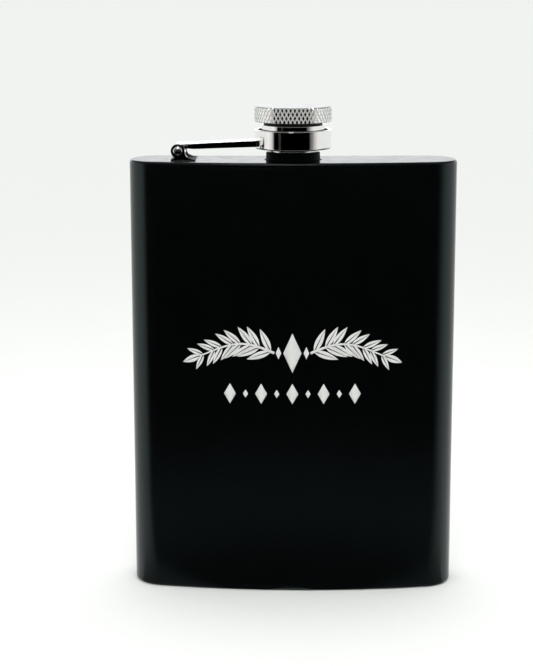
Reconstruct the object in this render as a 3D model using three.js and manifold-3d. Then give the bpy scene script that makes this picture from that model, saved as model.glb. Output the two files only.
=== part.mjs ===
// A pocket hip flask: a curved sheet-steel body with a screw cap that stays on the flask,
// held by a swinging arm. Millimetres, +Z up, the front face towards -Y, the wearer's hip towards +Y.
// The origin is on the surface that the flask stands on, under the middle of its body.

import * as THREE from "three";
import { mergeVertices } from "three/addons/utils/BufferGeometryUtils.js";
import Module from "manifold-3d";

const wasm = await Module();
wasm.setup();

// Body section, seen from above: a bulging front, a hollow back and round ends.
const WIDTH = 94;
const HEIGHT = 126;
const FRONT_Y = -12; // the front face at its middle
const BACK_Y = 10.4; // the back face at its middle
const FRONT_RADIUS = 210;
const BACK_RADIUS = 450;
const END_RADIUS = 9;

// Sheet thickness of the body's wall and of the plates that close its two ends.
const WALL = 0.6;
const PLATE = 1.5;
const TOP_ROUND = 0.7;
const BASE_ROUND = 1.2;
const BASE_RIM = 4; // width of the flat rim that the flask stands on
const BASE_RECESS = 0.6; // how far the base is pressed in, inside that rim

// Neck. Heights in this group and the next ones are above the top of the flask's body.
const AXIS_Y = (FRONT_Y + BACK_Y) / 2; // the neck and cap stand midway between front and back
const BORE = 4.9; // radius of the mouth
const SPOUT = 5.8; // radius of the spout at the root of its thread
const SPOUT_TOP = 8.5;
const SPIGOT = 5.9; // the part that reaches down through the top plate
const NECK_RADIUS = 7.7;
const NECK_TOP = 2.1;
const NECK_FOOT = 0.6; // how far and how high the neck's foot spreads
const WELD_GAP = 0.3;
const CHAMFER = 0.2; // the usual small edge on turned pieces

// Screw threads, rolled and round in section. The two leave room between their crests.
const PITCH = 1.8;
const RIDGE = 0.55; // radius of the ridge's section
const SPOUT_CREST = 6.2;
const CAP_CREST = 6.65;
const SPOUT_THREAD_LOW = 3.2;
const SPOUT_THREAD_HIGH = 7.0;
const CAP_THREAD_LOW = 4.8;
const CAP_THREAD_HIGH = 7.8;
const CAP_THREAD_ROOT = 7.05;

// Cap: a knurled head on a sleeve that passes through the collar and is flared under it.
const HEAD_RADIUS = 11;
const HEAD_LOW = 10.9;
const HEAD_HIGH = 15.3;
const HEAD_CHAMFER = 0.34;
const HEAD_NECK = 8.4; // radius of the undercut between the head and the sleeve
const KNURLS = 58; // diamonds round the head
const KNURL_ROWS = 3; // half diamonds from the lower chamfer to the upper one
const KNURL_DEPTH = 0.24;
const SLEEVE_RADIUS = 9.05;
const SLEEVE_TOP = 10.3;
const SLEEVE_LOW = 4.4;
const SLEEVE_ROOF = 9.6; // the inside of its closed end
const WAIST_RADIUS = 7.15; // where it passes through the collar's floor
const LIP_LOW = 2.35;
const LIP_HIGH = 2.9;
const SEAL_RADIUS = 6.6;
const SEAL_LOW = 8.8;

// Collar at the end of the arm. The cap turns in it and can't fall out of it.
const COLLAR_RADIUS = 11;
const COLLAR_INNER = 10.1;
const COLLAR_LOW = 3.3;
const COLLAR_HIGH = 8.65;
const COLLAR_FLOOR = 4.1; // top of its floor
const COLLAR_HOLE = 7.4;
const COLLAR_ROUND = 0.35; // its drawn outer edges

// Hinge: the pin lies along Y, left of the neck.
const PIN_X = -32.7;
const PIN_Z = 2.8;
const PIN_RADIUS = 0.9;
const PIN_HEAD = 1.35;
const PIN_DOME = 0.55;
const EAR_HOLE = 0.95;
const KNUCKLE_HOLE = 1.0;
const KNUCKLE_RADIUS = 2.0;
const EAR_INNER = 3.8;
const EAR_OUTER = 5.0;
const FOOT_RIGHT = -27.7;
const FOOT_LEFT = -34.7;
const FOOT_THICK = 0.45;
const FOOT_SWEEP = 0.1; // how closely the ears' edges sweep down into the foot

// Arm: a flat strap that thickens and climbs gently from the hinge to the collar.
const STRAP_HALF = 3.5; // half its width
const STRAP_START_X = -29.1; // where its straight top leaves the roll round the pin
const STRAP_START_HIGH = 4.76;
const STRAP_END_X = -9.5; // inside the collar, before the end is cut to fit round it
const STRAP_END_LOW = 3.86;
const STRAP_END_HIGH = 5.72;
const SADDLE_THICK = 0.6;
const SADDLE_LOW = 3.85;
const SADDLE_HIGH = 6.05;

const AROUND = 40; // facets round the cap, collar and neck
const PIN_FACETS = 24;
const ARC_STEPS = 7; // half the number of facets along each arc of the body's outline

const coat = { color: 0x0b0d0e, roughness: 0.5, metalness: 0.3 };
const steel = { color: 0xd6d7d6, roughness: 0.14, metalness: 1 };
const rubber = { color: 0xe4e2dc, roughness: 0.6, metalness: 0 };

// ---- Solids ----

function toSolid(geometry) {
  const bare = geometry.clone();
  bare.deleteAttribute("normal");
  bare.deleteAttribute("uv");
  const merged = mergeVertices(bare, 1e-4);
  return new wasm.Manifold(
    new wasm.Mesh({
      numProp: 3,
      vertProperties: merged.attributes.position.array,
      triVerts: new Uint32Array(merged.index.array),
    }),
  );
}

function toGeometry(solid) {
  const mesh = solid.getMesh();
  const geometry = new THREE.BufferGeometry();
  geometry.setAttribute("position", new THREE.BufferAttribute(mesh.vertProperties, 3));
  geometry.setIndex(new THREE.BufferAttribute(mesh.triVerts, 1));
  geometry.computeVertexNormals();
  return geometry;
}

function boxSolid(low, high) {
  const size = high.map((value, axis) => value - low[axis]);
  const box = new THREE.BoxGeometry(...size);
  box.translate(...low.map((value, axis) => value + size[axis] / 2));
  return toSolid(box);
}

function rodSolid(radius, low, high) {
  const rod = new THREE.CylinderGeometry(radius, radius, high - low, AROUND);
  rod.rotateX(Math.PI / 2);
  rod.translate(0, 0, (low + high) / 2);
  return toSolid(rod);
}

// Turns a closed profile of [radius, height] points about the Z axis.
function turned(profile) {
  const points = profile.map(([radius, height]) => new THREE.Vector2(radius, height));
  if (profile[0][0] > 0) {
    points.push(points[0].clone());
  }
  const lathe = new THREE.LatheGeometry(points, AROUND);
  lathe.rotateX(Math.PI / 2);
  return lathe;
}

// A side profile in X and Z, made solid from y = from to y = to.
function sideExtrusion(shape, from, to) {
  const solid = new THREE.ExtrudeGeometry(shape, {
    depth: to - from,
    bevelEnabled: false,
    curveSegments: 12,
  });
  solid.rotateX(Math.PI / 2);
  solid.translate(0, to, 0);
  return solid;
}

// A round ridge that winds up the Z axis between two heights.
class Helix extends THREE.Curve {
  constructor(radius, low, high) {
    super();
    this.radius = radius;
    this.low = low;
    this.turns = (high - low) / PITCH;
  }

  getPoint(t, target = new THREE.Vector3()) {
    const angle = t * this.turns * 2 * Math.PI;
    const height = this.low + t * this.turns * PITCH;
    return target.set(this.radius * Math.cos(angle), this.radius * Math.sin(angle), height);
  }
}

function threadSolid(radius, low, high) {
  const path = new Helix(radius, low, high);
  const section = new THREE.Shape();
  section.absarc(0, 0, RIDGE, 0, 2 * Math.PI);
  const ridge = new THREE.ExtrudeGeometry(section, {
    steps: Math.round(path.turns * 16),
    extrudePath: path,
    curveSegments: 4,
  });
  return toSolid(ridge);
}

// ---- Body ----

// The body's outline, moved inwards by inset. Every stretch is an arc tangent to the next.
function bodyOutline(inset, outline = new THREE.Shape()) {
  const frontCentre = FRONT_Y + FRONT_RADIUS;
  const backCentre = BACK_Y + BACK_RADIUS;
  const endX = WIDTH / 2 - END_RADIUS;
  const frontEndY = frontCentre - Math.sqrt((FRONT_RADIUS - END_RADIUS) ** 2 - endX ** 2);
  const backEndY = backCentre - Math.sqrt((BACK_RADIUS + END_RADIUS) ** 2 - endX ** 2);
  const frontTurn = Math.atan2(endX, frontCentre - frontEndY);
  const backTurn = Math.atan2(endX, backCentre - backEndY);
  const down = -Math.PI / 2;
  const up = Math.PI / 2;
  const endRadius = END_RADIUS - inset;
  outline.absarc(0, frontCentre, FRONT_RADIUS - inset, down - frontTurn, down + frontTurn);
  outline.absarc(endX, frontEndY, endRadius, down + frontTurn, 0);
  outline.absarc(endX, backEndY, endRadius, 0, up + backTurn);
  outline.absarc(0, backCentre, BACK_RADIUS + inset, down + backTurn, down - backTurn, true);
  outline.absarc(-endX, backEndY, endRadius, up - backTurn, Math.PI);
  outline.absarc(-endX, frontEndY, endRadius, Math.PI, 3 * up - frontTurn);
  return outline;
}

function bodySlab(inset, low, high, round = 0) {
  const slab = new THREE.ExtrudeGeometry(bodyOutline(inset), {
    depth: high - low - 2 * round,
    bevelEnabled: round > 0,
    bevelThickness: round,
    bevelSize: round,
    bevelOffset: -round,
    bevelSegments: 3,
    curveSegments: ARC_STEPS,
  });
  slab.translate(0, 0, low + round);
  return toSolid(slab);
}

function bodySleeve() {
  const outline = bodyOutline(0);
  outline.holes.push(bodyOutline(WALL, new THREE.Path()));
  const tube = new THREE.ExtrudeGeometry(outline, {
    depth: HEIGHT - 2 * PLATE,
    bevelEnabled: false,
    curveSegments: ARC_STEPS,
  });
  tube.translate(0, 0, PLATE);
  return toGeometry(toSolid(tube));
}

function topPlate() {
  const low = HEIGHT - PLATE;
  const rounded = bodySlab(0, low - PLATE, HEIGHT, TOP_ROUND);
  const plate = rounded.intersect(boxSolid([-WIDTH, -WIDTH, low], [WIDTH, WIDTH, HEIGHT + 1]));
  const hole = rodSolid(SPIGOT + WELD_GAP, low - 1, HEIGHT + 1).translate([0, AXIS_Y, 0]);
  return toGeometry(plate.subtract(hole));
}

function basePlate() {
  const rounded = bodySlab(0, 0, 2 * PLATE, BASE_ROUND);
  const plate = rounded.intersect(boxSolid([-WIDTH, -WIDTH, -1], [WIDTH, WIDTH, PLATE]));
  return toGeometry(plate.subtract(bodySlab(BASE_RIM, -1, BASE_RECESS)));
}

// ---- Neck ----

function neck() {
  const flow = turned([
    [BORE, -PLATE],
    [SPIGOT, -PLATE],
    [SPIGOT, 0],
    [NECK_RADIUS + NECK_FOOT, 0],
    [NECK_RADIUS + NECK_FOOT / 3, NECK_FOOT / 3],
    [NECK_RADIUS, NECK_FOOT],
    [NECK_RADIUS, NECK_TOP - CHAMFER],
    [NECK_RADIUS - CHAMFER, NECK_TOP],
    [SPOUT, NECK_TOP],
    [SPOUT, SPOUT_TOP - CHAMFER],
    [SPOUT - CHAMFER, SPOUT_TOP],
    [BORE + CHAMFER, SPOUT_TOP],
    [BORE, SPOUT_TOP - CHAMFER],
  ]);
  const thread = threadSolid(SPOUT_CREST - RIDGE, SPOUT_THREAD_LOW, SPOUT_THREAD_HIGH);
  return toGeometry(toSolid(flow).add(thread));
}

// ---- Cap ----

function capSeal() {
  return turned([
    [0, SEAL_LOW],
    [SEAL_RADIUS, SEAL_LOW],
    [SEAL_RADIUS, SLEEVE_ROOF],
    [0, SLEEVE_ROOF],
  ]);
}

function capSleeve() {
  const cup = turned([
    [0, SLEEVE_ROOF],
    [SEAL_RADIUS + CHAMFER, SLEEVE_ROOF],
    [CAP_THREAD_ROOT, SEAL_LOW - CHAMFER],
    [CAP_THREAD_ROOT, SLEEVE_LOW - CHAMFER],
    [CAP_CREST, SLEEVE_LOW - 3 * CHAMFER],
    [CAP_CREST, LIP_LOW + CHAMFER],
    [CAP_CREST + CHAMFER, LIP_LOW],
    [NECK_RADIUS - CHAMFER, LIP_LOW],
    [NECK_RADIUS, LIP_LOW + CHAMFER],
    [NECK_RADIUS, LIP_HIGH],
    [WAIST_RADIUS, LIP_HIGH + CHAMFER],
    [WAIST_RADIUS, SLEEVE_LOW],
    [SLEEVE_RADIUS - CHAMFER, SLEEVE_LOW],
    [SLEEVE_RADIUS, SLEEVE_LOW + CHAMFER],
    [SLEEVE_RADIUS, SLEEVE_TOP - CHAMFER],
    [SLEEVE_RADIUS - CHAMFER, SLEEVE_TOP],
    [0, SLEEVE_TOP],
  ]);
  const thread = threadSolid(CAP_CREST + RIDGE, CAP_THREAD_LOW, CAP_THREAD_HIGH);
  return toGeometry(toSolid(cup).add(thread));
}

// The head's side is a grid of points, out at the diamonds' middles and in where the grooves cross.
function capHead() {
  const columns = 2 * KNURLS;
  const side = HEAD_HIGH - HEAD_LOW - 2 * HEAD_CHAMFER;
  const rings = [
    [HEAD_NECK, SLEEVE_TOP, 0],
    [HEAD_NECK, HEAD_LOW, 0],
    [HEAD_RADIUS - HEAD_CHAMFER, HEAD_LOW, 0],
  ];
  for (let row = 0; row <= KNURL_ROWS; row += 1) {
    rings.push([HEAD_RADIUS, HEAD_LOW + HEAD_CHAMFER + (side * row) / KNURL_ROWS, KNURL_DEPTH]);
  }
  rings.push([HEAD_RADIUS - HEAD_CHAMFER, HEAD_HIGH, 0]);

  const points = [];
  rings.forEach(([radius, height, depth], row) => {
    for (let column = 0; column < columns; column += 1) {
      const angle = (column / columns) * 2 * Math.PI;
      const reach = (row + column) % 2 ? radius - depth : radius;
      points.push(reach * Math.cos(angle), reach * Math.sin(angle), height);
    }
  });
  const lowMiddle = points.length / 3;
  points.push(0, 0, SLEEVE_TOP);
  const highMiddle = points.length / 3;
  points.push(0, 0, HEAD_HIGH);

  const faces = [];
  const at = (row, column) => row * columns + (column % columns);
  for (let column = 0; column < columns; column += 1) {
    faces.push(lowMiddle, at(0, column + 1), at(0, column));
    faces.push(highMiddle, at(rings.length - 1, column), at(rings.length - 1, column + 1));
    for (let row = 0; row < rings.length - 1; row += 1) {
      const [a, b] = [at(row, column), at(row, column + 1)];
      const [c, d] = [at(row + 1, column + 1), at(row + 1, column)];
      // The shared edge joins the two groove points, so that each groove is an unbroken valley.
      if ((row + column) % 2) {
        faces.push(a, b, c, a, c, d);
      } else {
        faces.push(a, b, d, b, c, d);
      }
    }
  }
  const head = new THREE.BufferGeometry();
  head.setAttribute("position", new THREE.Float32BufferAttribute(points, 3));
  head.setIndex(faces);
  head.computeVertexNormals();
  return head;
}

// ---- Arm ----

function swivelCollar() {
  const shoulder = COLLAR_ROUND * (1 - Math.SQRT1_2);
  return turned([
    [COLLAR_HOLE, COLLAR_LOW],
    [COLLAR_RADIUS - COLLAR_ROUND, COLLAR_LOW],
    [COLLAR_RADIUS - shoulder, COLLAR_LOW + shoulder],
    [COLLAR_RADIUS, COLLAR_LOW + COLLAR_ROUND],
    [COLLAR_RADIUS, COLLAR_HIGH - COLLAR_ROUND],
    [COLLAR_RADIUS - shoulder, COLLAR_HIGH - shoulder],
    [COLLAR_RADIUS - COLLAR_ROUND, COLLAR_HIGH],
    [COLLAR_INNER + CHAMFER, COLLAR_HIGH],
    [COLLAR_INNER, COLLAR_HIGH - CHAMFER],
    [COLLAR_INNER, COLLAR_FLOOR + CHAMFER],
    [COLLAR_INNER - CHAMFER, COLLAR_FLOOR],
    [COLLAR_HOLE, COLLAR_FLOOR],
  ]);
}

function capArm() {
  const turnTop = THREE.MathUtils.degToRad(62);
  const turnLow = THREE.MathUtils.degToRad(10);
  const profile = new THREE.Shape();
  profile.moveTo(STRAP_END_X, STRAP_END_LOW);
  profile.lineTo(STRAP_END_X, STRAP_END_HIGH);
  profile.lineTo(STRAP_START_X, STRAP_START_HIGH);
  profile.absarc(PIN_X, PIN_Z, KNUCKLE_RADIUS, turnTop, 2 * Math.PI + turnLow);
  const pinHole = new THREE.Path();
  pinHole.absarc(PIN_X, PIN_Z, KNUCKLE_HOLE, 0, 2 * Math.PI);
  profile.holes.push(pinHole);
  const strap = toSolid(sideExtrusion(profile, -STRAP_HALF, STRAP_HALF));

  const inner = COLLAR_RADIUS + WELD_GAP;
  const reach = inner + SADDLE_THICK;
  const saddle = rodSolid(reach, SADDLE_LOW, SADDLE_HIGH).intersect(
    boxSolid([-reach, -STRAP_HALF, 0], [0, STRAP_HALF, SADDLE_HIGH]),
  );
  return toGeometry(strap.add(saddle).subtract(rodSolid(inner, 0, HEAD_HIGH)));
}

// ---- Hinge ----

// A foot folded up into two round ears. Each ear's edge runs over the pin and in again under it.
function hingeBracket() {
  const turnLow = THREE.MathUtils.degToRad(240);
  const side = PIN_X + KNUCKLE_RADIUS;
  const sweepZ = FOOT_THICK + FOOT_SWEEP;
  const ear = new THREE.Shape();
  ear.moveTo(FOOT_LEFT, 0);
  ear.lineTo(FOOT_RIGHT, 0);
  ear.lineTo(FOOT_RIGHT, FOOT_THICK);
  ear.quadraticCurveTo(side - FOOT_SWEEP, sweepZ, side, PIN_Z);
  ear.absarc(PIN_X, PIN_Z, KNUCKLE_RADIUS, 0, turnLow);
  ear.quadraticCurveTo(PIN_X - KNUCKLE_RADIUS / 2, sweepZ, FOOT_LEFT, FOOT_THICK);
  const pinHole = new THREE.Path();
  pinHole.absarc(PIN_X, PIN_Z, EAR_HOLE, 0, 2 * Math.PI);
  ear.holes.push(pinHole);
  const nearEar = toSolid(sideExtrusion(ear, -EAR_OUTER, -EAR_INNER));
  const farEar = toSolid(sideExtrusion(ear, EAR_INNER, EAR_OUTER));
  const foot = boxSolid([FOOT_LEFT, -EAR_OUTER, 0], [FOOT_RIGHT, EAR_OUTER, FOOT_THICK]);
  return toGeometry(foot.add(nearEar).add(farEar));
}

function hingePin() {
  const dome = EAR_OUTER + PIN_DOME;
  const brow = EAR_OUTER + PIN_DOME * 0.64;
  const pin = new THREE.LatheGeometry(
    [
      [0, -dome],
      [PIN_HEAD * 0.6, -brow],
      [PIN_HEAD, -EAR_OUTER],
      [PIN_RADIUS, -EAR_OUTER],
      [PIN_RADIUS, EAR_OUTER],
      [PIN_HEAD, EAR_OUTER],
      [PIN_HEAD * 0.6, brow],
      [0, dome],
    ].map(([radius, along]) => new THREE.Vector2(radius, along)),
    PIN_FACETS,
  );
  pin.translate(PIN_X, 0, PIN_Z);
  return pin;
}

// ---- Assembly ----

function node(name, geometry, finish) {
  const mesh = new THREE.Mesh(geometry, new THREE.MeshStandardMaterial(finish));
  mesh.name = name;
  return mesh;
}

const body = new THREE.Group();
body.add(
  node("body_sleeve", bodySleeve(), coat),
  node("top_plate", topPlate(), coat),
  node("base_plate", basePlate(), coat),
);

const fittings = new THREE.Group();
fittings.position.set(0, AXIS_Y, HEIGHT);
fittings.add(
  node("neck", neck(), coat),
  node("hinge_bracket", hingeBracket(), steel),
  node("hinge_pin", hingePin(), steel),
  node("cap_arm", capArm(), steel),
  node("swivel_collar", swivelCollar(), steel),
  node("cap_sleeve", capSleeve(), steel),
  node("cap_seal", capSeal(), rubber),
  node("cap_head", capHead(), steel),
);

const flask = new THREE.Group();
flask.add(body, fittings);

export default flask;
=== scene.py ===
"""Looks of the pocket hip flask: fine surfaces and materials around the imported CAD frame. Metres, +Z up."""

import math

import bmesh
import bpy
import numpy as np
from mathutils import Matrix, Vector


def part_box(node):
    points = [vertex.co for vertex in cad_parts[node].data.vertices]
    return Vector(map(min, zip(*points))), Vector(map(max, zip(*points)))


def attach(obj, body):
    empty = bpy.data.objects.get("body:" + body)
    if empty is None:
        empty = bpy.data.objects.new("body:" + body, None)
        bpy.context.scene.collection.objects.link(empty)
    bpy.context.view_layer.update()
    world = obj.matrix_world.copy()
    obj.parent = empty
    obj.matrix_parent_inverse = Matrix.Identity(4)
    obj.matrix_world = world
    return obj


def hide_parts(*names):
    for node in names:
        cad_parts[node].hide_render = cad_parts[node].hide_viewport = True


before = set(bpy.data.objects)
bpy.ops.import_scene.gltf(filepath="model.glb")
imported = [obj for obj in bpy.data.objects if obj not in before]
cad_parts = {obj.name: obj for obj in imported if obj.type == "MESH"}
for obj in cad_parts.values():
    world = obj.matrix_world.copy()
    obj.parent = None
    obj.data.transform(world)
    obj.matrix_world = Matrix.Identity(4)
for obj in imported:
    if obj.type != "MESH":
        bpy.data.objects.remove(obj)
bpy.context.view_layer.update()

MM = 0.001

# ---- Sizes. Places come from the frame's boxes; these say what a box can't. ----

FRONT_RADIUS = 210 * MM  # how the body's front bulges
BACK_RADIUS = 450 * MM  # how its back is hollowed
END_RADIUS = 9 * MM
SHEET = 0.6 * MM
BACK_HOLLOW = 1.576 * MM  # depth of the back's hollow, from the ends' rear to the middle
TOP_ROUND = 0.7 * MM
BASE_ROUND = 1.2 * MM
BASE_RIM = 4 * MM
BASE_RECESS = 0.6 * MM
SEAM = 0.04 * MM  # the fine edge where the wall and a plate are welded and ground flush
PLATE_LAP = 1.5 * MM  # width of each plate's edge, which is drawn finely
NECK_HOLE = 6.2 * MM  # radius of the hole that the neck goes down through

sleeve_low, sleeve_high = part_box("body_sleeve")
BODY_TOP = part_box("top_plate")[1].z
BODY_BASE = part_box("base_plate")[0].z
HALF_WIDTH = sleeve_high.x
FRONT_Y = sleeve_low.y
BACK_Y = sleeve_high.y - BACK_HOLLOW

collar_low, collar_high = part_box("swivel_collar")
AXIS = Vector((0, (collar_low.y + collar_high.y) / 2, BODY_TOP))  # neck and cap, at the body's top
pin_low, pin_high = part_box("hinge_pin")
PIN = (pin_low + pin_high) / 2

PAINTED_SHADE = 1  # the place of the near-black steel among the materials of a piece with two; it is painted shade for gaps and hollows


# ---- Mesh helpers ----


def mesh_of(points, faces):
    work = bmesh.new()
    made = [work.verts.new(point) for point in points]
    for face in faces:
        work.faces.new([made[k] for k in face])
    return work


def piece_from(work, name):
    """Makes work into a smooth object whose faces all point outwards, and frees work."""
    bmesh.ops.recalc_face_normals(work, faces=work.faces)
    mesh = bpy.data.meshes.new(name)
    work.to_mesh(mesh)
    work.free()
    mesh.shade_smooth()
    piece = bpy.data.objects.new(name, mesh)
    bpy.context.scene.collection.objects.link(piece)
    return piece


def new_piece(name, points, faces):
    return piece_from(mesh_of(points, faces), name)


def crisp(piece, degrees=32):
    """Keeps flat faces flat beside their small fillets."""
    piece.data.set_sharp_from_angle(angle=math.radians(degrees))
    weigh = piece.modifiers.new("weigh_normals", "WEIGHTED_NORMAL")
    weigh.keep_sharp = True
    return piece


def rounded(corners, closed=True, steps=5):
    """A line of (a, b, radius) corners with each corner turned on its own radius."""
    line = []
    count = len(corners)
    for i, (a, b, radius) in enumerate(corners):
        if radius == 0 or (not closed and i in (0, count - 1)):
            line.append((a, b))
            continue
        here = Vector((a, b))
        before = (Vector(corners[i - 1][:2]) - here).normalized()
        after = (Vector(corners[(i + 1) % count][:2]) - here).normalized()
        half = before.angle(after) / 2
        centre = here + (before + after).normalized() * radius / math.sin(half)
        start = here + before * radius / math.tan(half) - centre
        end = here + after * radius / math.tan(half) - centre
        sweep = start.angle_signed(end)
        for k in range(steps + 1):
            turn = -sweep * k / steps
            line.append(tuple(centre + Matrix.Rotation(turn, 2) @ start))
    return line


def dense(line, longest, closed=True):
    """The same line with no step longer than longest."""
    found = []
    for i in range(len(line) if closed else len(line) - 1):
        a = Vector(line[i])
        b = Vector(line[(i + 1) % len(line)])
        parts = max(1, math.ceil((b - a).length / longest))
        found += [tuple(a.lerp(b, k / parts)) for k in range(parts)]
    if not closed:
        found.append(line[-1])
    return found


def grid_faces(rows, columns, close_rows=False, close_columns=True):
    """The four-sided faces between the points of a grid, which are counted along its rows."""
    faces = []
    for r in range(rows if close_rows else rows - 1):
        for c in range(columns if close_columns else columns - 1):
            r2 = (r + 1) % rows
            c2 = (c + 1) % columns
            faces.append((r * columns + c, r * columns + c2, r2 * columns + c2, r2 * columns + c))
    return faces


def turned(name, line, around=160, shape=None, centre=AXIS, along="Z"):
    """Turns a line of (radius, height) points about an axis. A line that starts and ends on the axis
    makes a solid core, and any other is closed into a ring. shape gives a change of radius at an
    (angle, radius, height)."""
    solid_core = line[0][0] == 0
    rings = line[1:-1] if solid_core else line
    angle = np.arange(around) * 2 * math.pi / around
    points = []
    for radius, height in rings:
        reach = radius + (shape(angle, radius, height) if shape else 0)
        points += list(zip(reach * np.cos(angle), reach * np.sin(angle), np.full(around, height)))
    faces = grid_faces(len(rings), around, close_rows=not solid_core)
    if solid_core:
        low = len(points)
        points += [(0, 0, line[0][1]), (0, 0, line[-1][1])]
        last = (len(rings) - 1) * around
        for c in range(around):
            c2 = (c + 1) % around
            faces += [(low, c, c2), (low + 1, last + c2, last + c)]
    if along == "Y":
        points = [(x, z, -y) for x, y, z in points]
    return new_piece(name, [Vector(p) + centre for p in points], faces)


def outline_arcs():
    """The body's outline as (centre, radius, side, unit direction) of each point. side is 1 where the
    wall bulges and -1 where it is hollow, so an inset changes the radius by -side times the inset."""
    front_centre = FRONT_Y + FRONT_RADIUS
    back_centre = BACK_Y + BACK_RADIUS
    end_x = HALF_WIDTH - END_RADIUS
    front_end = front_centre - math.sqrt((FRONT_RADIUS - END_RADIUS) ** 2 - end_x**2)
    back_end = back_centre - math.sqrt((BACK_RADIUS + END_RADIUS) ** 2 - end_x**2)
    front_turn = math.atan2(end_x, front_centre - front_end)
    back_turn = math.atan2(end_x, back_centre - back_end)
    down = -math.pi / 2
    up = math.pi / 2
    arcs = [
        ((0, front_centre), FRONT_RADIUS, 1, down - front_turn, down + front_turn, 72),
        ((end_x, front_end), END_RADIUS, 1, down + front_turn, 0, 20),
        ((end_x, back_end), END_RADIUS, 1, 0, up + back_turn, 20),
        ((0, back_centre), BACK_RADIUS, -1, down + back_turn, down - back_turn, 56),
        ((-end_x, back_end), END_RADIUS, 1, up - back_turn, math.pi, 20),
        ((-end_x, front_end), END_RADIUS, 1, math.pi, 3 * up - front_turn, 20),
    ]
    found = []
    for centre, radius, side, start, end, steps in arcs:
        straight_next = side == 1 and radius == END_RADIUS and end in (0, math.pi)
        for k in range(steps + (1 if straight_next else 0)):
            angle = start + (end - start) * k / steps
            found.append((centre, radius, side, (math.cos(angle), math.sin(angle))))
    return found


OUTLINE = outline_arcs()


def body_ring(inset, height):
    """The body's outline at a height, moved inwards."""
    ring = []
    for (cx, cy), radius, side, (dx, dy) in OUTLINE:
        reach = radius - side * inset
        ring.append((cx + reach * dx, cy + reach * dy, height))
    return ring


def front_y(x):
    """Where the body's front face is, at a distance x from its middle."""
    return FRONT_Y + FRONT_RADIUS - math.sqrt(FRONT_RADIUS**2 - x**2)


# ---- Body ----


def wall():
    profile = rounded(
        [
            (0, sleeve_low.z, SEAM),
            (0, sleeve_high.z, SEAM),
            (SHEET, sleeve_high.z, 0),
            (SHEET, sleeve_low.z, 0),
        ],
        steps=2,
    )
    profile = dense(profile, 6 * MM)
    points = [p for inset, height in profile for p in body_ring(inset, height)]
    faces = grid_faces(len(profile), len(OUTLINE), close_rows=True)
    return crisp(new_piece("flask_wall", points, faces))


def add_hole(work, borders, radius, heights):
    """Adds a round hole's wall on the neck's axis, and its two edges to the borders of the flats."""
    around = 96
    rings = []
    for height in heights:
        ring = []
        for k in range(around):
            angle = 2 * math.pi * k / around
            place = AXIS + Vector((radius * math.cos(angle), radius * math.sin(angle), 0))
            ring.append(work.verts.new((place.x, place.y, height)))
        rings.append(ring)
    for ring, border in zip(rings, borders):
        border += [work.edges.new((ring[k], ring[k - 1])) for k in range(around)]
    for k in range(around):
        work.faces.new([rings[0][k], rings[0][k - 1], rings[1][k - 1], rings[1][k]])


def plate(name, rim, inner, hole=None):
    """A plate across the body. rim is its (inset, height) edge from the flat of one side to the flat
    of the other, and inner is how far in each flat is drawn before it is filled."""
    rings = [body_ring(rim[0][0] + inner, rim[0][1])]
    rings += [body_ring(inset, height) for inset, height in rim]
    rings.append(body_ring(rim[-1][0] + inner, rim[-1][1]))
    count = len(OUTLINE)
    work = mesh_of([point for ring in rings for point in ring], grid_faces(len(rings), count))
    work.verts.ensure_lookup_table()
    borders = []
    for side in (set(work.verts[:count]), set(work.verts[-count:])):
        borders.append([edge for edge in work.edges if edge.verts[0] in side and edge.verts[1] in side])
    if hole:
        add_hole(work, borders, hole, (rim[0][1], rim[-1][1]))
    for border in borders:
        bmesh.ops.triangle_fill(work, edges=border, use_beauty=True)
    return crisp(piece_from(work, name))


def top_plate():
    low = sleeve_high.z
    edge = rounded(
        [(PLATE_LAP, low, 0), (0, low, SEAM), (0, BODY_TOP, TOP_ROUND), (PLATE_LAP, BODY_TOP, 0)],
        closed=False,
        steps=8,
    )
    return plate("flask_top", edge, 1.0 * MM, NECK_HOLE)


def base_plate():
    high = sleeve_low.z
    floor = BODY_BASE + BASE_RECESS
    edge = rounded(
        [
            (BASE_RIM + 1.2 * MM, floor, 0),
            (BASE_RIM, floor, 0.35 * MM),
            (BASE_RIM, BODY_BASE, 0.2 * MM),
            (0, BODY_BASE, BASE_ROUND),
            (0, high, SEAM),
            (PLATE_LAP, high, 0),
        ],
        closed=False,
        steps=8,
    )
    return plate("flask_base", edge, 0.8 * MM)


# ---- Threads ----

PITCH = 1.8 * MM


def thread(low, high, height, outwards):
    """A right-hand rolled ridge between two heights that fades in and out over a third of a turn."""

    def shape(angle, radius, z):
        turns = (z - low) / PITCH - angle / (2 * math.pi)
        offset = turns - np.round(turns)
        ridge = np.cos(np.clip(np.abs(offset) / 0.36, 0, 1) * math.pi / 2) ** 1.5
        lead = np.clip((z - offset * PITCH - low) / (PITCH / 3), 0, 1)
        tail = np.clip((high - z + offset * PITCH) / (PITCH / 3), 0, 1)
        return outwards * height * ridge * np.minimum(lead, tail)

    return shape


# ---- Neck ----


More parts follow.
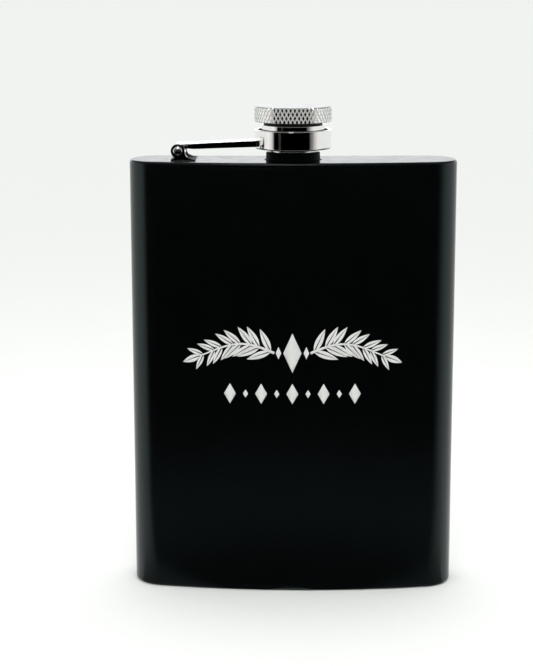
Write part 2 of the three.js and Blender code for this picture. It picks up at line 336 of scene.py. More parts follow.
def neck():
    low, high = (v.z - AXIS.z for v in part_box("neck"))
    skirt = 7.7 * MM
    foot = 0.6 * MM
    shoulder = 2.1 * MM
    spout = 5.8 * MM
    bore = 4.9 * MM
    tube = 5.9 * MM  # the part that goes down through the top plate
    seat = 0.02 * MM  # how far above the plate the foot begins
    line = rounded(
        [
            (bore, low, 0.1 * MM),
            (tube, low, 0.1 * MM),
            (tube, seat, 0),
            (skirt + foot, seat, 0.01 * MM),
            (skirt + 0.08 * MM, 0.1 * MM, 0.3 * MM),
            (skirt, shoulder, 0.2 * MM),
            (spout, shoulder, 0.3 * MM),
            (spout, high, 0.35 * MM),
            (bore, high, 0.35 * MM),
        ],
        steps=5,
    )
    ridge = thread(3.2 * MM, 7.0 * MM, 0.4 * MM, 1)

    def shape(angle, radius, z):
        on_spout = abs(radius - spout) < 0.02 * MM and z > shoulder
        return ridge(angle, radius, z) if on_spout else np.zeros_like(angle)

    return crisp(turned("flask_neck", dense(line, 0.12 * MM), 144, shape), 50)


# ---- Cap ----

HEAD_TALL = 4.4 * MM
HEAD_CHAMFER = 0.34 * MM
LOWER_CHAMFER_TALL = 0.12 * MM
LOWER_CHAMFER_WIDE = 0.3 * MM
SPIGOT = 8.4 * MM  # radius of the undercut between the head and the sleeve
KNURLS = 58  # diamonds round the head
KNURL_TALL = 2.2 * MM
KNURL_RISE = 0.32 * MM  # how far the lowest row's middle is above the side's lower edge
GROOVE = 0.175  # half a groove's width, as a share of a diamond
GROOVE_DEEP = 0.24 * MM
FLATS, GROOVES, FACE, UNDERCUT = range(4)  # the order of the head's materials; UNDERCUT's is the near-black steel of painted shade


def knurled_side(work, radius, low, high):
    """A net of flat-topped diamonds with V grooves between them, cut level at both ends. It is laid out
    along the two crossing families of helical grooves, with three lines of points to a groove's pitch."""
    shares = (0, GROOVE, 1 - GROOVE)
    rows = math.ceil((high - low) / KNURL_TALL * 2) + 1
    points = {}

    def point(p, q):
        shift = 3 * KNURLS * (p // (3 * KNURLS))
        key = (p - shift, q - shift)
        if key not in points:
            up, down = (k // 3 + shares[k % 3] for k in key)
            deep = GROOVE_DEEP if 0 in (p % 3, q % 3) else 0
            turn = 2 * math.pi * ((up + down) / 2 - 0.5) / KNURLS - math.pi / 2
            reach = radius - deep
            height = low + KNURL_RISE + (up - down) / 2 * KNURL_TALL
            points[key] = work.verts.new((reach * math.cos(turn), reach * math.sin(turn), height))
        return points[key]

    for a in range(KNURLS):
        for b in range(a - rows, a + 2):
            for i in range(3):
                for j in range(3):
                    p, q = 3 * a + i, 3 * b + j
                    corners = [point(p, q), point(p + 1, q), point(p + 1, q + 1), point(p, q + 1)]
                    if i == j == 1:
                        work.faces.new(corners)
                        continue
                    first = 1 if 1 not in (i, j) and i != j else 0
                    for k in (0, 2):
                        half = [corners[(first + k + step) % 4] for step in range(3)]
                        work.faces.new(half).material_index = GROOVES
    for height, away in ((low, -1), (high, 1)):
        everything = work.verts[:] + work.edges[:] + work.faces[:]
        level = {"plane_co": (0, 0, height), "plane_no": (0, 0, away)}
        bmesh.ops.bisect_plane(work, geom=everything, dist=1e-8, clear_outer=True, **level)


def ring_from(work, border, radius, height):
    """Carries a round border on to another radius and height, and gives back the new border."""
    made = bmesh.ops.extrude_edge_only(work, edges=border)["geom"]
    for point in made:
        if isinstance(point, bmesh.types.BMVert):
            turn = math.atan2(point.co.y, point.co.x)
            point.co = (radius * math.cos(turn), radius * math.sin(turn), height)
    return [edge for edge in made if isinstance(edge, bmesh.types.BMEdge) and edge.is_boundary]


def finish_head(work, low, top):
    """Gives the head's face, its underside and its chamfers their materials."""
    near = 0.001 * MM
    for face in work.faces:
        heights = [point.co.z for point in face.verts]
        if min(heights) > top - near:
            face.material_index = FACE
        # painted shade: the underside and the spigot in the undercut get the near-black steel
        elif max(heights) < low + near:
            face.material_index = UNDERCUT
        elif max(heights) > top - near or min(heights) < low + near:
            face.material_index = FLATS


def cap_head():
    head_low, head_high = (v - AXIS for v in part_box("cap_head"))
    radius = head_high.x
    top = head_high.z
    low = top - HEAD_TALL
    work = bmesh.new()
    knurled_side(work, radius, low + LOWER_CHAMFER_TALL, top - HEAD_CHAMFER)
    middle = (top + low) / 2
    borders = [edge for edge in work.edges if edge.is_boundary]
    upper = [edge for edge in borders if edge.verts[0].co.z > middle]
    lower = [edge for edge in borders if edge.verts[0].co.z < middle]
    for reach in (radius - HEAD_CHAMFER, radius - 1.2 * MM, radius / 2):
        upper = ring_from(work, upper, reach, top)
    for reach in (radius - LOWER_CHAMFER_WIDE, SPIGOT):
        lower = ring_from(work, lower, reach, low)
    for reach in (SPIGOT, 4 * MM):
        lower = ring_from(work, lower, reach, head_low.z)
    for border in (upper, lower):
        bmesh.ops.contextual_create(work, geom=border)
    finish_head(work, low, top)
    piece = piece_from(work, "cap_disc")
    piece.location = AXIS
    return crisp(piece, 20)


def cap_sleeve():
    low, high = (v.z - AXIS.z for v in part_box("cap_sleeve"))
    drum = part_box("cap_sleeve")[1].x
    crest = 6.65 * MM
    root = crest + 0.4 * MM
    waist = 7.15 * MM
    lip = 7.7 * MM
    shoulder = 4.4 * MM
    roof = 9.6 * MM
    rim = high - 0.2 * MM  # a boss goes on from here to the head
    line = rounded(
        [
            (0, roof, 0),
            (6.8 * MM, roof, 0.1 * MM),
            (root, roof - 1.0 * MM, 0.1 * MM),
            (root, shoulder - 0.2 * MM, 0.1 * MM),
            (crest, shoulder - 0.6 * MM, 0.1 * MM),
            (crest, low, 0.3 * MM),
            (lip, low, 0.2 * MM),
            (lip, low + 0.55 * MM, 0.15 * MM),
            (waist, low + 0.75 * MM, 0.1 * MM),
            (waist, shoulder, 0.1 * MM),
            (drum, shoulder, 0.3 * MM),
            (drum, rim, 0.25 * MM),
            (SPIGOT, rim, 0.1 * MM),
            (SPIGOT, high, 0),
            (0, high, 0),
        ],
        closed=False,
        steps=5,
    )
    ridge = thread(shoulder + 0.4 * MM, roof - 1.8 * MM, 0.4 * MM, -1)

    def shape(angle, radius, z):
        inside = abs(radius - root) < 0.02 * MM and z < roof
        return ridge(angle, radius, z) if inside else np.zeros_like(angle)

    line = dense(line, 0.14 * MM, closed=False)
    piece = crisp(turned("cap_drum", line, 128, shape), 50)
    # Painted shade: the boss above the rim, in the gap under the head, gets the near-black steel.
    for face in piece.data.polygons:
        if face.center.z - AXIS.z > rim + 0.01 * MM:
            face.material_index = PAINTED_SHADE
    return piece


def cap_seal():
    low, high = (v.z - AXIS.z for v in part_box("cap_seal"))
    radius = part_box("cap_seal")[1].x
    line = rounded(
        [
            (0, low + 0.25 * MM, 0),
            (4.0 * MM, low + 0.25 * MM, 0.2 * MM),
            (4.35 * MM, low, 0.2 * MM),
            (radius, low, 0.25 * MM),
            (radius, high, 0.1 * MM),
            (0, high, 0),
        ],
        closed=False,
    )
    return crisp(turned("cap_gasket", line, 96))


# ---- Arm ----


def collar():
    low, high = (v.z - AXIS.z for v in (collar_low, collar_high))
    outer = collar_high.x
    inner = outer - 0.9 * MM
    hole = 7.4 * MM
    floor = low + 0.8 * MM
    line = rounded(
        [
            (hole, low, 0.2 * MM),
            (outer, low, 0.4 * MM),
            (outer, high, 0.16 * MM),
            (inner, high, 0.06 * MM),
            (inner, floor, 0.4 * MM),
            (hole, floor, 0.2 * MM),
        ],
        steps=6,
    )
    piece = crisp(turned("swivel_ring", line, 192))
    # Painted shade: the collar's inner wall, in the gap round the cap, gets the near-black steel.
    for face in piece.data.polygons:
        middle = face.center - AXIS
        if middle.xy.length < inner + 0.02 * MM and floor < middle.z < high - 0.1 * MM:
            face.material_index = PAINTED_SHADE
    return piece


CURL = 1.5 * MM  # radius of the middle line of the strap's roll round the pin
CURL_HALF = 0.47 * MM  # half the strap's thickness in the roll, where it leaves it and at the collar
STRAP_HALF = 0.77 * MM
END_HALF = 0.91 * MM
STRAP_NEAR = Vector((PIN.x + 4.3 * MM, BODY_TOP + 4.03 * MM))
STRAP_PULL = Vector((PIN.x + 1.9 * MM, BODY_TOP + 4.08 * MM))
STRAP_FAR = Vector((-collar_high.x, BODY_TOP + 4.76 * MM))


def curve(start, pull, end, steps):
    """Points between start and end on a curve that is drawn towards pull."""
    found = []
    for k in range(1, steps):
        t = k / steps
        found.append(start * (1 - t) ** 2 + pull * 2 * t * (1 - t) + end * t**2)
    return found


def strap_path():
    """The arm's middle line in X and Z, with its half thickness: round the pin, then out to the collar."""
    path = []
    start, end = math.radians(318), math.radians(68)
    for k in range(41):
        angle = start + (end - start) * k / 40
        path.append((PIN.x + CURL * math.cos(angle), PIN.z + CURL * math.sin(angle), CURL_HALF))
    bend = curve(Vector(path[-1][:2]), STRAP_PULL, STRAP_NEAR, 9)
    for k, at in enumerate(bend):
        path.append((at.x, at.y, CURL_HALF + (STRAP_HALF - CURL_HALF) * (k + 1) / 9))
    for k in range(25):
        at = STRAP_NEAR.lerp(STRAP_FAR, k / 24)
        path.append((at.x, at.y, STRAP_HALF + (END_HALF - STRAP_HALF) * k / 24))
    return path


def arm():
    """A strap of rounded oblong section swept along its path. Its end follows the collar's round wall."""
    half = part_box("cap_arm")[1].y - AXIS.y
    path = strap_path()
    edge = 0.07 * MM
    points = []
    reach = collar_high.x - 0.05 * MM
    for i, (x, z, thick) in enumerate(path):
        before = Vector(path[max(i - 1, 0)][:2])
        after = Vector(path[min(i + 1, len(path) - 1)][:2])
        tangent = (after - before).normalized()
        normal = Vector((-tangent.y, tangent.x))
        corners = ((-half, -thick), (half, -thick), (half, thick), (-half, thick))
        section = rounded([(*corner, edge) for corner in corners], steps=4)
        for across, up in section:
            place = Vector((x, z)) + normal * up
            # Near its end the strap runs further in at its edges, where the round wall lies further back.
            share = min(1, max(0, (x - PIN.x) / (-reach - PIN.x)))
            hug = (reach - math.sqrt(reach**2 - across**2)) * share**6
            points.append((place.x + hug, AXIS.y + across, place.y))
    columns = len(section)
    rows = len(path)
    faces = grid_faces(rows, columns)
    faces.append(tuple(range(columns)))
    faces.append(tuple(range((rows - 1) * columns, rows * columns)))
    return crisp(new_piece("arm_strap", points, faces), 40)


# ---- Hinge ----


def bevelled(piece, width, degrees=35):
    bevel = piece.modifiers.new("soft_edges", "BEVEL")
    bevel.width = width
    bevel.segments = 3
    bevel.limit_method = "ANGLE"
    bevel.angle_limit = math.radians(degrees)
    weigh = piece.modifiers.new("weigh_normals", "WEIGHTED_NORMAL")
    weigh.keep_sharp = True
    return piece


def side_prism(name, line, from_y, to_y):
    """A solid whose outline is given in X and Z."""
    count = len(line)
    points = [(x, from_y, z) for x, z in line] + [(x, to_y, z) for x, z in line]
    faces = [(k, (k + 1) % count, count + (k + 1) % count, count + k) for k in range(count)]
    faces += [tuple(range(count)), tuple(range(count, 2 * count))]
    return new_piece(name, points, faces)


def cut(piece, tool):
    """Takes tool's space out of piece, and deletes tool."""
    modifier = piece.modifiers.new("cut", "BOOLEAN")
    modifier.operation = "DIFFERENCE"
    modifier.solver = "EXACT"
    modifier.object = tool
    graph = bpy.context.evaluated_depsgraph_get()
    made = bpy.data.meshes.new_from_object(piece.evaluated_get(graph))
    piece.modifiers.clear()
    piece.data = made
    bpy.data.objects.remove(tool)
    return piece


FOOT_THICK = 0.45 * MM
EAR_GAP = 3.8 * MM  # half the room between the two ears
EAR_HOLE = 0.95 * MM


def ear_outline(low, high):
    """An ear's edge: round over the pin, and swept out into the foot at both sides."""
    radius = high.z - PIN.z
    sweep_z = low.z + FOOT_THICK + 0.1 * MM
    foot_right = Vector((high.x, low.z + FOOT_THICK))
    foot_left = Vector((low.x, low.z + FOOT_THICK))
    ring = []
    for k in range(33):
        angle = math.radians(240) * k / 32
        ring.append(Vector((PIN.x + radius * math.cos(angle), PIN.z + radius * math.sin(angle))))
    line = [(low.x, low.z), (high.x, low.z), foot_right]
    line += curve(foot_right, Vector((PIN.x + radius - 0.1 * MM, sweep_z)), ring[0], 12)
    line += ring
    line += curve(ring[-1], Vector((PIN.x - radius / 2, sweep_z)), foot_left, 8)
    line.append(foot_left)
    return line


def bracket():
    low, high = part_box("hinge_bracket")
    piece = side_prism("hinge_ears", ear_outline(low, high), low.y, high.y)
    beyond = 2 * MM
    left, right = low.x - beyond, high.x + beyond
    floor, roof = low.z + FOOT_THICK, high.z + beyond
    outline = [(left, floor), (right, floor), (right, roof), (left, roof)]
    cut(piece, side_prism("room", outline, AXIS.y - EAR_GAP, AXIS.y + EAR_GAP))
    reach = 8 * MM
    line = [(0, -reach), (EAR_HOLE, -reach), (EAR_HOLE, reach), (0, reach)]
    cut(piece, turned("bore", line, 48, centre=PIN, along="Y"))
    piece.data.shade_smooth()
    piece.data.set_sharp_from_angle(angle=math.radians(35))
    # Painted shade: the foot's low upward-facing faces get the near-black steel, which darkens where they
    # would catch the bright reflection.
    for face in piece.data.polygons:
        if face.normal.z > 0.4 and face.center.z < floor + 0.6 * MM:
            face.material_index = PAINTED_SHADE
    return bevelled(piece, 0.1 * MM)


def pin():
    half = pin_high.y - PIN.y
    dome = 0.55 * MM
    head = 1.35 * MM
    shank = 0.9 * MM
    ears = half - dome
    cap = []
    for k in range(13):
        angle = math.radians(90) * k / 12
        cap.append((head * math.sin(angle), ears + dome * math.cos(angle)))
    line = [(radius, -y) for radius, y in cap] + [(shank, -ears), (shank, ears)]
    line += reversed(cap)
    return crisp(turned("hinge_rivet", line, 64, centre=PIN, along="Y"))


# ---- Ornament on the front ----

MARK_PROUD = 0.02 * MM
MARK_THICK = 0.05 * MM


class Marks:
    """Collects flat shapes, given in X and Z, that are laid on the body's front face."""

    def __init__(self):
        self.points = []
        self.faces = []

    def patch(self, rows):
        """rows is a grid of (x, z) points."""
        start = len(self.points)
        columns = len(rows[0])
        for row in rows:
            self.points += [(x, front_y(x) - MARK_PROUD, z) for x, z in row]
        for face in grid_faces(len(rows), columns, close_columns=False):
            self.faces.append(tuple(start + k for k in face))

    def leaf(self, root, direction, length, width):
        """A pointed leaf with a slit along its midrib."""
        along = Vector((math.cos(direction), math.sin(direction)))
        aside = Vector((-along.y, along.x))
        root = Vector(root)
        slit = 0.16 * MM
        thinnest = 0.01 * MM
        steps = 16
        for side in (-1, 1):
            rows = []
            for k in range(steps + 1):
                t = k / steps
                belly = width / 2 * math.sin(math.pi * t**0.8) ** 0.9
                gap = slit * (1 - 0.9 * t)
                edge = max(belly, gap + thinnest)
                spine = root + along * length * t
                rows.append([tuple(spine + aside * side * (gap + (edge - gap) * j / 3)) for j in range(4)])
            self.patch(rows)

    def stroke(self, line, widths):
        """A line of varying width."""
        rows = []
        for i, at in enumerate(line):
            before = Vector(line[max(i - 1, 0)])
            after = Vector(line[min(i + 1, len(line) - 1)])
            aside = (after - before).normalized()
            aside = Vector((-aside.y, aside.x)) * widths[i] / 2
            middle = Vector(at)
            rows.append([tuple(middle - aside), tuple(middle), tuple(middle + aside)])
        self.patch(rows)

    def lozenge(self, x, z, wide, tall):
        tip = 0.01 * MM
        rows = []
        for i in range(7):
            t = i / 6 * 2 - 1
            reach = wide / 2 * (1 - abs(t)) + tip
            rows.append([(x + aside * reach, z + t * tall / 2) for aside in (-1, 0, 1)])
        self.patch(rows)


def spray(marks, side, middle):
    """A stem that leads away from the middle, with pairs of leaves that get smaller towards its tip."""
    steps = 40
    pairs = 8
    near, reach, rise = 5.2 * MM, 21.5 * MM, 2.6 * MM
    stem = []
    for k in range(steps + 1):
        t = k / steps
        stem.append((side * (near + reach * t), middle + rise * math.sin(math.pi * 1.15 * t)))
    marks.stroke(stem, [(0.75 - 0.4 * k / steps) * MM for k in range(steps + 1)])
    for k in range(pairs):
        t = (k + 0.5) / pairs
        i = round(t * steps)
        heading = Vector(stem[min(i + 1, steps)]) - Vector(stem[i])
        base = math.atan2(heading.y, heading.x)
        size = 1 - 0.35 * t
        for turn in (-1, 1):
            marks.leaf(stem[i], base + turn * side * math.radians(42), 7.4 * MM * size, 2.1 * MM * size)
    heading = Vector(stem[-1]) - Vector(stem[-2])
    marks.leaf(stem[-1], math.atan2(heading.y, heading.x), 5.2 * MM, 2.0 * MM)


def ornament():
    """Two sprays of leaves beside a lozenge, over a row of lozenges of two sizes in turn."""
    marks = Marks()
    middle = 71.6 * MM
    low = 59.6 * MM
    for side in (-1, 1):
        spray(marks, side, middle)
    marks.lozenge(0, middle, 5.2 * MM, 11.5 * MM)
    for side in (-1, 1):
        marks.lozenge(side * 4.0 * MM, middle, 1.6 * MM, 3.6 * MM)
    for k in range(-4, 5):
        wide, tall = (1.5 * MM, 2.4 * MM) if k % 2 else (3.4 * MM, 6.0 * MM)
        marks.lozenge(k * 4.5 * MM, low, wide, tall)
    piece = new_piece("front_ornament", marks.points, marks.faces)
    thick = piece.modifiers.new("thickness", "SOLIDIFY")
    thick.thickness = MARK_THICK
    thick.offset = 0
    return piece


# ---- Materials ----


def map_range(tree, source, low, high, to_low=0.0, to_high=1.0):
    node = tree.nodes.new("ShaderNodeMapRange")
    for key, value in zip(("From Min", "From Max", "To Min", "To Max"), (low, high, to_low, to_high)):
        node.inputs[key].default_value = value
    tree.links.new(source, node.inputs["Value"])
    return node


class Nodes:
    """Short ways to wire a node material."""

    def __init__(self, name):
        self.material = bpy.data.materials.new(name)
        self.material.use_nodes = True
        self.tree = self.material.node_tree
        self.shader = self.tree.nodes["Principled BSDF"]
        self.place = self.tree.nodes.new("ShaderNodeTexCoord").outputs["Object"]

    def set(self, **values):
        for key, value in values.items():
            self.shader.inputs[key.replace("_", " ")].default_value = value

    def drive(self, socket, source):
        self.tree.links.new(source, self.shader.inputs[socket])

    def noise(self, scale, detail=2.0, roughness=0.5, stretch=None):
        node = self.tree.nodes.new("ShaderNodeTexNoise")
        node.inputs["Scale"].default_value = scale
        node.inputs["Detail"].default_value = detail
        node.inputs["Roughness"].default_value = roughness
        source = self.place
        if stretch:
            mapping = self.tree.nodes.new("ShaderNodeMapping")
            mapping.inputs["Scale"].default_value = stretch
            self.tree.links.new(source, mapping.inputs["Vector"])
            source = mapping.outputs["Vector"]
        self.tree.links.new(source, node.inputs["Vector"])
        return node.outputs["Fac"]

    def remap(self, source, low, high, to_low=0.0, to_high=1.0):
        return map_range(self.tree, source, low, high, to_low, to_high).outputs["Result"]

    def mottle(self, noise, dark, light, high=0.7):
        """A base colour that wanders between two tones. high is the noise at which it is all light."""
        node = self.tree.nodes.new("ShaderNodeMixRGB")
        node.inputs["Color1"].default_value = (*dark, 1)
        node.inputs["Color2"].default_value = (*light, 1)
        self.tree.links.new(self.remap(noise, 0.3, high), node.inputs["Fac"])
        self.drive("Base Color", node.outputs["Color"])

    def bump(self, height, strength, distance, after=None):
        node = self.tree.nodes.new("ShaderNodeBump")
        node.inputs["Strength"].default_value = strength
        node.inputs["Distance"].default_value = distance
        self.tree.links.new(height, node.inputs["Height"])
        if after is not None:
            self.tree.links.new(after, node.inputs["Normal"])
        return node.outputs["Normal"]


def powder_coat(name, level, rough):
    """Satin black with a fine orange peel. level is how strongly it reflects."""
    n = Nodes(name)
    n.set(Metallic=0.0, IOR=1.5, Specular_IOR_Level=level)
    n.set(Specular_Tint=(0.75, 0.98, 1.0, 1))
    n.mottle(n.noise(90, 3), (0.0005, 0.0008, 0.0009), (0.0009, 0.0013, 0.0014))
    n.drive("Roughness", n.remap(n.noise(260, 2), 0.3, 0.7, rough, rough + 0.04))
    peel = n.bump(n.noise(1300, 1.5), 0.08, 0.04 * MM)
    n.drive("Normal", n.bump(n.noise(6000, 1), 0.1, 0.01 * MM, peel))
    return n.material


def steel(name, rough_low, rough_high, edge_tint=1.0, metallic=1.0):
    """Steel with faint wiping marks, whose gloss varies a little. edge_tint below 1 makes it duller
    where it is seen at a glancing angle, as finely turned or blasted steel is."""
    n = Nodes(name)
    n.set(Metallic=metallic, Specular_Tint=(edge_tint, edge_tint, edge_tint, 1))
    n.mottle(n.noise(300, 2), (0.86, 0.855, 0.84), (0.91, 0.905, 0.895))
    n.drive("Roughness", n.remap(n.noise(420, 4, 0.6), 0.35, 0.7, rough_low, rough_high))
    n.drive("Normal", n.bump(n.noise(900, 3, stretch=(1, 1, 14)), 0.03, 0.01 * MM))
    return n.material


def painted_shade_steel():
    """Unpolished steel, its colour darkened near to black as painted shade, for the undercuts and gaps where
    shade falls and for the bracket foot's upward faces.
    """
    n = Nodes("painted_shade_steel")
    n.set(Metallic=0.6)
    # near-black tones: painted shade, not the steel's own colour
    n.mottle(n.noise(700, 3), (0.012, 0.011, 0.010), (0.03, 0.028, 0.026))
    n.drive("Roughness", n.remap(n.noise(500, 3), 0.3, 0.7, 0.45, 0.6))
    n.drive("Normal", n.bump(n.noise(3000, 2), 0.1, 0.01 * MM))
    return n.material


def silicone():
    n = Nodes("silicone")
    n.set(Roughness=0.5, IOR=1.41, Subsurface_Weight=0.35, Subsurface_Scale=1 * MM)
    n.mottle(n.noise(500, 2), (0.74, 0.73, 0.70), (0.82, 0.81, 0.78))
    n.drive("Normal", n.bump(n.noise(2500, 2), 0.1, 0.02 * MM))
    return n.material


def laser_mark():
    """Bare steel where a laser took the coat off: pale, matt and finely hatched."""
    n = Nodes("laser_mark")
    n.set(Metallic=0.0, Roughness=0.6)
    n.mottle(n.noise(1600, 3, 0.7), (0.56, 0.555, 0.54), (0.66, 0.655, 0.64), high=0.75)
    n.drive("Normal", n.bump(n.noise(800, 2, stretch=(1, 1, 10)), 0.15, 0.01 * MM))
    return n.material


# ---- Stage, light and camera ----


def floor():
    reach = 60
    corners = [(-reach, -reach, 0), (reach, -reach, 0), (reach, reach, 0), (-reach, reach, 0)]
    piece = new_piece("floor", corners, [(0, 1, 2, 3)])
    material = bpy.data.materials.new("floor_white")
    material.use_nodes = True
    shader = material.node_tree.nodes["Principled BSDF"]
    shader.inputs["Base Color"].default_value = (0.845, 0.845, 0.832, 1)
    shader.inputs["Roughness"].default_value = 1.0
    shader.inputs["Specular IOR Level"].default_value = 0.0
    piece.data.materials.append(material)


ROOM_STOPS = [  # how bright the room is, by degrees to the right of straight ahead of the flask
    (-90, 0.97),
    (-75, 0.96),
    (-66, 0.70),
    (-61, 0.34),
    (-57.5, 0.0),
    (-45, 0.0),
    (-39, 0.045),
    (-35, 0.0),
    (50, 0.0),
    (55, 0.16),
    (60, 0.22),
    (68, 0.56),
    (77, 0.82),
    (88, 0.95),
]


def room_by_direction(tree, place):
    """The room's colour in each direction from the flask."""
    split = tree.nodes.new("ShaderNodeSeparateXYZ")
    tree.links.new(place, split.inputs[0])
    flip = tree.nodes.new("ShaderNodeMath")
    flip.operation = "MULTIPLY"
    flip.inputs[1].default_value = -1
    tree.links.new(split.outputs["Y"], flip.inputs[0])
    turn = tree.nodes.new("ShaderNodeMath")
    turn.operation = "ARCTAN2"
    tree.links.new(split.outputs["X"], turn.inputs[0])
    tree.links.new(flip.outputs[0], turn.inputs[1])
    share = map_range(tree, turn.outputs[0], -math.pi / 2, math.pi / 2)
    ramp = tree.nodes.new("ShaderNodeValToRGB")
    tree.links.new(share.outputs[0], ramp.inputs["Fac"])
    elements = ramp.color_ramp.elements
    for k, (azimuth, level) in enumerate(ROOM_STOPS):
        position = (azimuth + 90) / 180
        stop = elements[k] if k < 1 else elements.new(position)
        stop.position = position
        stop.color = (level, level * 0.98, level * 0.95, 1)
    elements.remove(elements[len(elements) - 1])  # a ramp starts with a stop at its end
    return ramp.outputs["Color"]


def room_glow():
    """Black in front, as the dark room behind the camera is, and white at both sides. Near the flask it
    is dark grey like a shaded floor, and darker still at the flask's foot."""
    material = bpy.data.materials.new("reflected_room")
    material.use_nodes = True
    tree = material.node_tree
    tree.nodes.clear()
    place = tree.nodes.new("ShaderNodeTexCoord").outputs["Object"]
    length = tree.nodes.new("ShaderNodeVectorMath")
    length.operation = "LENGTH"
    tree.links.new(place, length.inputs[0])
    near_floor = map_range(tree, length.outputs["Value"], 120 * MM, 200 * MM, 0.14, 0.0)
    foot = map_range(tree, length.outputs["Value"], 45 * MM, 85 * MM, 0.3, 1.0)
    lighter = tree.nodes.new("ShaderNodeMixRGB")
    lighter.blend_type = "LIGHTEN"
    lighter.inputs["Fac"].default_value = 1.0
    tree.links.new(room_by_direction(tree, place), lighter.inputs["Color1"])
    tree.links.new(near_floor.outputs["Result"], lighter.inputs["Color2"])
    glow = tree.nodes.new("ShaderNodeEmission")
    tree.links.new(lighter.outputs["Color"], glow.inputs["Color"])
    tree.links.new(foot.outputs["Result"], glow.inputs["Strength"])
    out = tree.nodes.new("ShaderNodeOutputMaterial")
    tree.links.new(glow.outputs[0], out.inputs["Surface"])
    return material


def reflected_room():
    """A sheet on the floor before the flask that only reflections see."""
    near, far = 13 * MM, 8.0
    height = 0.3 * MM
    spread = math.radians(84)
    steps = 48
    points = []
    for k in range(steps + 1):
        angle = -math.pi / 2 - spread + 2 * spread * k / steps
        points += [(radius * math.cos(angle), radius * math.sin(angle), height) for radius in (near, far)]
    piece = new_piece("reflected_room", points, grid_faces(steps + 1, 2, close_columns=False))
    piece.data.materials.append(room_glow())
    piece.visible_camera = False
    piece.visible_diffuse = False
    piece.visible_shadow = False


def softbox(name, at, aim, size, power, seen=True, lights=True, spread=180):
    """A lamp. seen says whether reflections show it, lights whether it lights dull surfaces, and spread
    is the angle of its beam in degrees."""
    data = bpy.data.lights.new(name, "AREA")
    data.shape = "RECTANGLE"
    data.size, data.size_y = size
    data.energy = power
    data.spread = math.radians(spread)
    lamp = bpy.data.objects.new(name, data)
    lamp.location = at
    lamp.rotation_euler = (Vector(aim) - Vector(at)).to_track_quat("-Z", "Y").to_euler()
    lamp.visible_camera = False
    lamp.visible_glossy = seen
    lamp.visible_diffuse = lights
    bpy.context.scene.collection.objects.link(lamp)


def room_light(tree):
    """The room as reflections see it: bright behind the flask, dark behind the camera, grey above."""
    add = tree.nodes.new
    link = tree.links.new
    coords = add("ShaderNodeTexCoord")
    split = add("ShaderNodeSeparateXYZ")
    link(coords.outputs["Generated"], split.inputs[0])
    depth = map_range(tree, split.outputs["Y"], -1, 1)
    ramp = add("ShaderNodeValToRGB")
    link(depth.outputs["Result"], ramp.inputs["Fac"])
    stops = ramp.color_ramp.elements
    stops[0].position, stops[0].color = 0.22, (0.0, 0.0, 0.0, 1)
    stops[1].position, stops[1].color = 0.30, (0.5, 0.51, 0.51, 1)
    for position, level in ((0.42, 0.95), (0.80, 1.15), (0.97, 1.6)):
        stops.new(position).color = (level, level * 1.02, level * 1.02, 1)
    rise = map_range(tree, split.outputs["Z"], 0.2, 0.4)
    rise.interpolation_type = "SMOOTHSTEP"
    ceiling = add("ShaderNodeMixRGB")
    ceiling.inputs["Color2"].default_value = (0.32, 0.33, 0.33, 1)
    link(rise.outputs["Result"], ceiling.inputs["Fac"])
    link(ramp.outputs["Color"], ceiling.inputs["Color1"])
    room = add("ShaderNodeBackground")
    link(ceiling.outputs["Color"], room.inputs["Color"])
    return room


def studio():
    """The camera sees one even tone, dull surfaces get an even soft light, and reflections see a room."""
    world = bpy.data.worlds.new("studio")
    bpy.context.scene.world = world
    world.use_nodes = True
    tree = world.node_tree
    tree.nodes.clear()
    add = tree.nodes.new
    link = tree.links.new
    out = add("ShaderNodeOutputWorld")
    seen = add("ShaderNodeBackground")
    seen.inputs["Color"].default_value = (0.885, 0.905, 0.895, 1)
    soft = add("ShaderNodeBackground")
    soft.inputs["Color"].default_value = (1.04, 1.07, 1.055, 1)
    path = add("ShaderNodeLightPath")
    lit = add("ShaderNodeMixShader")
    link(path.outputs["Is Diffuse Ray"], lit.inputs["Fac"])
    link(room_light(tree).outputs[0], lit.inputs[1])
    link(soft.outputs[0], lit.inputs[2])
    mix = add("ShaderNodeMixShader")
    link(path.outputs["Is Camera Ray"], mix.inputs["Fac"])
    link(lit.outputs[0], mix.inputs[1])
    link(seen.outputs[0], mix.inputs[2])
    link(mix.outputs[0], out.inputs["Surface"])


EYE = (4.0 * MM, -500 * MM, 176.2 * MM)
LOOK_DOWN = 11.43  # degrees
LOOK_LEFT = 1.34
ROLL = -0.09


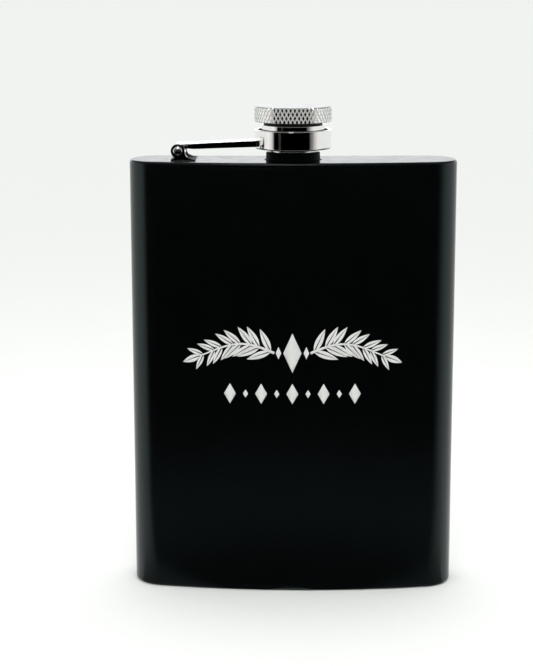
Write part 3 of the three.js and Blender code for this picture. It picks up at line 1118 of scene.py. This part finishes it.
def camera():
    data = bpy.data.cameras.new("camera")
    data.sensor_width = 36
    data.lens = 94.2
    data.clip_start, data.clip_end = 0.01, 200
    eye = bpy.data.objects.new("camera", data)
    turn = Matrix.Rotation(math.radians(LOOK_LEFT), 4, "Z")
    tilt = Matrix.Rotation(math.radians(90 - LOOK_DOWN), 4, "X")
    roll = Matrix.Rotation(math.radians(ROLL), 4, "Z")
    eye.matrix_world = Matrix.Translation(EYE) @ turn @ tilt @ roll
    bpy.context.scene.collection.objects.link(eye)
    bpy.context.scene.camera = eye


# ---- Assembly ----


def dress(piece, finishes, body, node):
    """Gives a piece its materials and its body, and puts it in the place of a CAD node if one is named."""
    for finish in finishes:
        piece.data.materials.append(finish)
    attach(piece, body)
    if node:
        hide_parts(node)


coat = powder_coat("powder_coat", 0.36, 0.2)
dull_coat = powder_coat("dull_coat", 0.06, 0.5)
polished = steel("polished_steel", 0.03, 0.08)
knurl_steel = steel("knurl_steel", 0.1, 0.17)
groove_steel = steel("groove_steel", 0.45, 0.55, metallic=0.7)
turned_steel = steel("turned_steel", 0.2, 0.26, edge_tint=0.64)
folded_steel = steel("folded_steel", 0.04, 0.08, edge_tint=0.6)
# near-black steel that paints shade into gaps and hollows
steel_in_painted_shade = painted_shade_steel()

dress(wall(), [coat], "flask", "body_sleeve")
dress(top_plate(), [coat], "flask", "top_plate")
dress(base_plate(), [coat], "flask", "base_plate")
dress(neck(), [dull_coat], "flask", "neck")
dress(bracket(), [folded_steel, steel_in_painted_shade], "flask", "hinge_bracket")
dress(pin(), [polished], "flask", "hinge_pin")
dress(ornament(), [laser_mark()], "flask", None)
dress(arm(), [polished], "arm", "cap_arm")
dress(collar(), [polished, steel_in_painted_shade], "arm", "swivel_collar")
head_finishes = [knurl_steel, groove_steel, turned_steel, steel_in_painted_shade]
dress(cap_head(), head_finishes, "cap", "cap_head")
dress(cap_sleeve(), [polished, steel_in_painted_shade], "cap", "cap_sleeve")
dress(cap_seal(), [silicone()], "cap", "cap_seal")

floor()
reflected_room()
studio()
softbox("key", (-0.1, -0.95, 0.95), (0, 0, 0.13), (0.3, 0.2), 2.1, lights=False)
softbox("front_fill", (0, -0.45, 0.6), (0, 0, 0), (0.3, 0.3), 0.19, seen=False, spread=60)
softbox("back_fill", (0, 0.06, 0.33), (0, 0.06, 0), (0.15, 0.15), 0.2, seen=False)
camera()
bpy.context.scene.view_settings.view_transform = "Standard"
